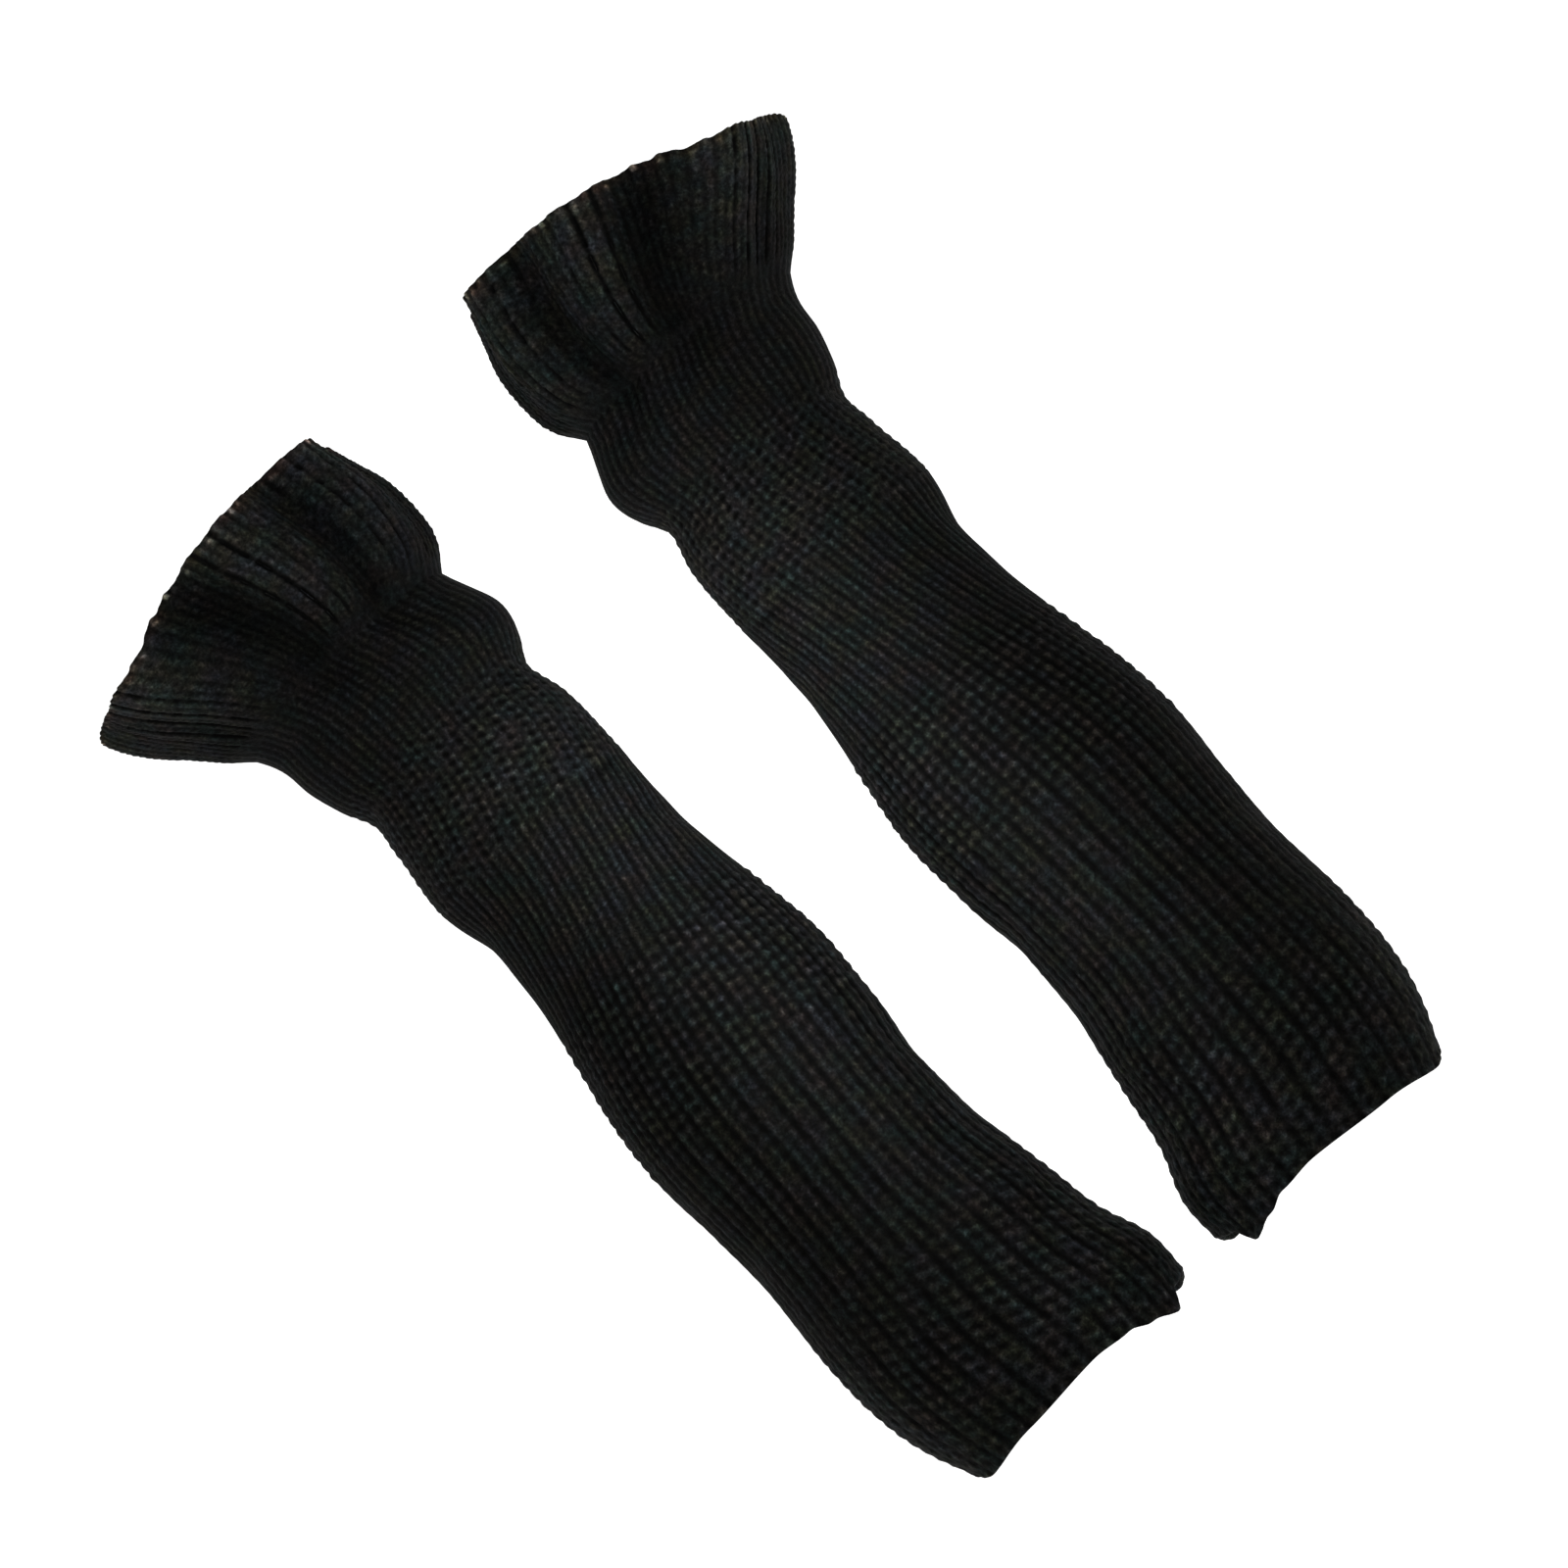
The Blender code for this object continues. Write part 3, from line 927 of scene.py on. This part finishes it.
def yarn_body(w, place):
    """The yarn's own colour: black, faded brown, blue, violet or green."""
    casts = [w.beyond(w.noise(place, kind), CAST_LOW, CAST_GAIN, clamp=True) for kind in CASTS]
    return w.mix(0.5, w.mix(casts[0], BROWN, BLUE), w.mix(casts[1], VIOLET, GREEN))


def yarn_colour(w, place, stitch, fibres):
    """Painted shade between the ribs and stitches, with lighter loose fibres."""
    # Painted shade: the deeper the knit lies, the nearer its colour comes to near-black
    groove_shade = w.math("POWER", w.attribute("deep"), HIDE_POWER, clamp=True)
    body = w.mix(groove_shade, yarn_body(w, place), GROOVE_SHADE)
    # Painted shade in the gaps between the stitch legs
    gap_shade = w.math("MULTIPLY", w.math("SUBTRACT", 1.0, stitch), GAP_SHADE_SHARE)
    shaded = w.mix(gap_shade, body, GAP_SHADE)
    light = w.beyond(fibres, FIBRE_LOW, FIBRE_GAIN, clamp=True)
    light = w.math("MULTIPLY", light, w.math("SUBTRACT", 1.0, groove_shade, clamp=True))
    colour = w.mix(w.math("MULTIPLY", light, FIBRE_SHARE), shaded, FIBRE)
    speckle = w.math("POWER", SPECKLE_BASE, w.beyond(w.noise(place, SPECKLE), 0.5, SPECKLE_GAIN))
    toned = w.node("ShaderNodeVectorMath", operation="SCALE")
    w.put(toned.inputs[0], colour)
    w.put(toned.inputs["Scale"], w.math("MULTIPLY", w.attribute("tone"), speckle))
    return toned.outputs[0]


def warm_rim_highlight(w, colour, v, highlight_row):
    """A colour tinted browner from a row on, toward the rim: a painted warm highlight."""
    tinted = w.node("ShaderNodeVectorMath", operation="MULTIPLY")
    w.put(tinted.inputs[0], colour)
    w.put(tinted.inputs[1], w.mix(w.math("SUBTRACT", v, highlight_row, clamp=True), PLAIN, RIM_HIGHLIGHT_TINT))
    return tinted.outputs[0]


def knit_material(name, stitch_depth, highlight_row=None):
    """Black yarn: V-shaped stitches, twisted plies and loose fibres over the modelled ribs."""
    material = bpy.data.materials.new(name)
    material.use_nodes = True
    w = Wires(material.node_tree)
    surface = material.node_tree.nodes["Principled BSDF"]
    split = w.node("ShaderNodeSeparateXYZ")
    w.put(split.inputs[0], w.node("ShaderNodeUVMap", uv_map="knit").outputs["UV"])
    u, v = split.outputs["X"], split.outputs["Y"]
    place = w.node("ShaderNodeTexCoord").outputs["Object"]

    stitch, plies = stitch_and_plies(w, u, v, place)
    fibres = w.noise(place, FIBRES)
    fluff = w.noise(place, FLUFF)
    height = w.math("MULTIPLY", stitch, stitch_depth)
    height = w.add_share(height, plies, PLY_HEIGHT)
    height = w.add_share(height, fibres, FIBRE_HEIGHT)
    height = w.add_share(height, fluff, FLUFF_HEIGHT)
    bump = w.node("ShaderNodeBump")
    bump.inputs["Strength"].default_value = RELIEF_STRENGTH
    bump.inputs["Distance"].default_value = RELIEF_METRES
    w.put(bump.inputs["Height"], height)
    w.put(surface.inputs["Normal"], bump.outputs["Normal"])

    colour = yarn_colour(w, place, stitch, fibres)
    if highlight_row is not None:
        colour = warm_rim_highlight(w, colour, v, highlight_row)
    w.put(surface.inputs["Base Color"], colour)
    roughness = w.math("ADD", SMOOTHEST, w.math("MULTIPLY", fluff, FLUFF_ROUGHNESS))
    w.put(surface.inputs["Roughness"], roughness)
    surface.inputs["Specular IOR Level"].default_value = SHEEN
    return material


def build_pieces():
    """Both warmers, each on an empty that leans it outward as its solid leans."""
    rim_row = FRILL_LENGTH / FRILL_PITCH
    sleeve_knit = knit_material("sleeve_knit", SLEEVE_STITCH)
    frill_knit = knit_material("frill_knit", FRILL_STITCH, rim_row - WARM_HIGHLIGHT_ROWS)
    sleeve = sleeve_cloth()
    frill = frill_cloth()
    pieces = []
    for hand, side in (("right", 1), ("left", -1)):
        lean = bpy.data.objects.new(hand + "_warmer", None)
        bpy.context.scene.collection.objects.link(lean)
        lean.location.x = side * CENTRE_X * MM
        lean.rotation_euler.z = -side * math.radians(SPREAD)
        sleeve_mesh = cloth_mesh(f"{hand}_sleeve_knit", sleeve, side, -ROLLED)
        frill_mesh = cloth_mesh(f"{hand}_frill_knit", frill, side, ROLLED)
        sleeve_mesh.materials.append(sleeve_knit)
        frill_mesh.materials.append(frill_knit)
        pieces.append((hand, lean, link(sleeve_mesh, lean), link(frill_mesh, lean)))
    bpy.context.view_layer.update()
    return pieces


def declare(pieces):
    """Each piece hung on the root body where it stands, with the solid it replaces hidden and its
    leaning empty removed.
    """
    for hand, lean, sleeve, frill in pieces:
        for piece, part, flat, held in (
            (sleeve, "sleeve", (0.262, 0.344), "stretched"),
            (frill, "frill", (0.330, 0.056), "gathered"),
        ):
            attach(piece, "root")
            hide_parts(f"{hand}_{part}")
        bpy.data.objects.remove(lean)


def add_floor():
    """A pale plain floor that glows in a painted pool of light round its middle."""
    mesh = bpy.data.meshes.new("floor")
    corners = ((-1, -1), (1, -1), (1, 1), (-1, 1))
    points = [(x * FLOOR_HALF, y * FLOOR_HALF, -FLOOR_BELOW) for x, y in corners]
    mesh.from_pydata(points, [], [(0, 1, 2, 3)])
    floor = bpy.data.objects.new("floor", mesh)
    bpy.context.scene.collection.objects.link(floor)
    material = bpy.data.materials.new("pale_floor")
    material.use_nodes = True
    surface = material.node_tree.nodes["Principled BSDF"]
    surface.inputs["Base Color"].default_value = FLOOR_COLOUR
    surface.inputs["Roughness"].default_value = 0.9
    surface.inputs["Specular IOR Level"].default_value = 0.2
    surface.inputs["Emission Color"].default_value = (1, 1, 1, 1)
    w = Wires(material.node_tree)
    away = w.node("ShaderNodeVectorMath", operation="LENGTH")
    w.put(away.inputs[0], w.node("ShaderNodeTexCoord").outputs["Object"])
    pool = w.node("ShaderNodeMapRange", interpolation_type="SMOOTHSTEP")
    w.put(pool.inputs["Value"], away.outputs["Value"])
    pool.inputs["From Min"].default_value = POOL_REACH[0]
    pool.inputs["From Max"].default_value = POOL_REACH[1]
    pool.inputs["To Min"].default_value = POOL_LIGHT[0]
    pool.inputs["To Max"].default_value = POOL_LIGHT[1]
    # Painted light: the floor glows, most round its middle
    w.put(surface.inputs["Emission Strength"], pool.outputs["Result"])
    mesh.materials.append(material)


def add_light(lamp, side=1):
    """One soft light, on the other side of the pair where side is -1."""
    data = bpy.data.lights.new(lamp.name, "AREA")
    data.shape = "RECTANGLE"
    data.size, data.size_y = lamp.size
    data.energy = lamp.power
    data.color = lamp.colour
    light = bpy.data.objects.new(lamp.name, data)
    bpy.context.scene.collection.objects.link(light)
    place = np.array(lamp.place) * (side, 1, 1)
    aim = np.array(lamp.aim) * (side, 1, 1)
    light.location = place
    light.rotation_euler = Vector(aim - place).to_track_quat("-Z", "Y").to_euler()
    light.visible_camera = False


def add_lights():
    """An even pale surround, one light in front and two on each side."""
    world = bpy.data.worlds.new("studio")
    bpy.context.scene.world = world
    world.use_nodes = True
    background = world.node_tree.nodes["Background"]
    background.inputs["Color"].default_value = WORLD_COLOUR
    background.inputs["Strength"].default_value = WORLD_LIGHT
    add_light(KEY)
    for side in (1, -1):
        for lamp in FILLS:
            add_light(lamp, side)


def add_camera():
    """Looks down at the pair, tilted toward the upper ends and rolled to the picture's slant."""
    elevation, roll = math.radians(ELEVATION), math.radians(ROLL)
    ahead = np.array((0.0, math.cos(elevation), -math.sin(elevation)))
    up = np.array((0.0, math.sin(elevation), math.cos(elevation)))
    right = np.array((1.0, 0.0, 0.0))
    turned_right = right * math.cos(roll) - up * math.sin(roll)
    turned_up = right * math.sin(roll) + up * math.cos(roll)
    data = bpy.data.cameras.new("camera")
    data.lens = LENS
    data.sensor_width = SENSOR
    camera = bpy.data.objects.new("camera", data)
    bpy.context.scene.collection.objects.link(camera)
    place = np.array(TARGET) - ahead * DISTANCE
    rotation = Matrix([turned_right, turned_up, -ahead]).transposed()
    camera.matrix_world = Matrix.Translation(place) @ rotation.to_4x4()
    bpy.context.scene.camera = camera


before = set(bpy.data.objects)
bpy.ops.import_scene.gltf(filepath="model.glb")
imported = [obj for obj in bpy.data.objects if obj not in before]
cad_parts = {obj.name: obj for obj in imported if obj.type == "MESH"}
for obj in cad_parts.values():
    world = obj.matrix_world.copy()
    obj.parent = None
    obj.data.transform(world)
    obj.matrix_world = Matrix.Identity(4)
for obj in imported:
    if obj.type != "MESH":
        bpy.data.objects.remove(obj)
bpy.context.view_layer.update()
bpy.context.scene.view_settings.view_transform = "Standard"
add_camera()
add_lights()
add_floor()
declare(build_pieces())
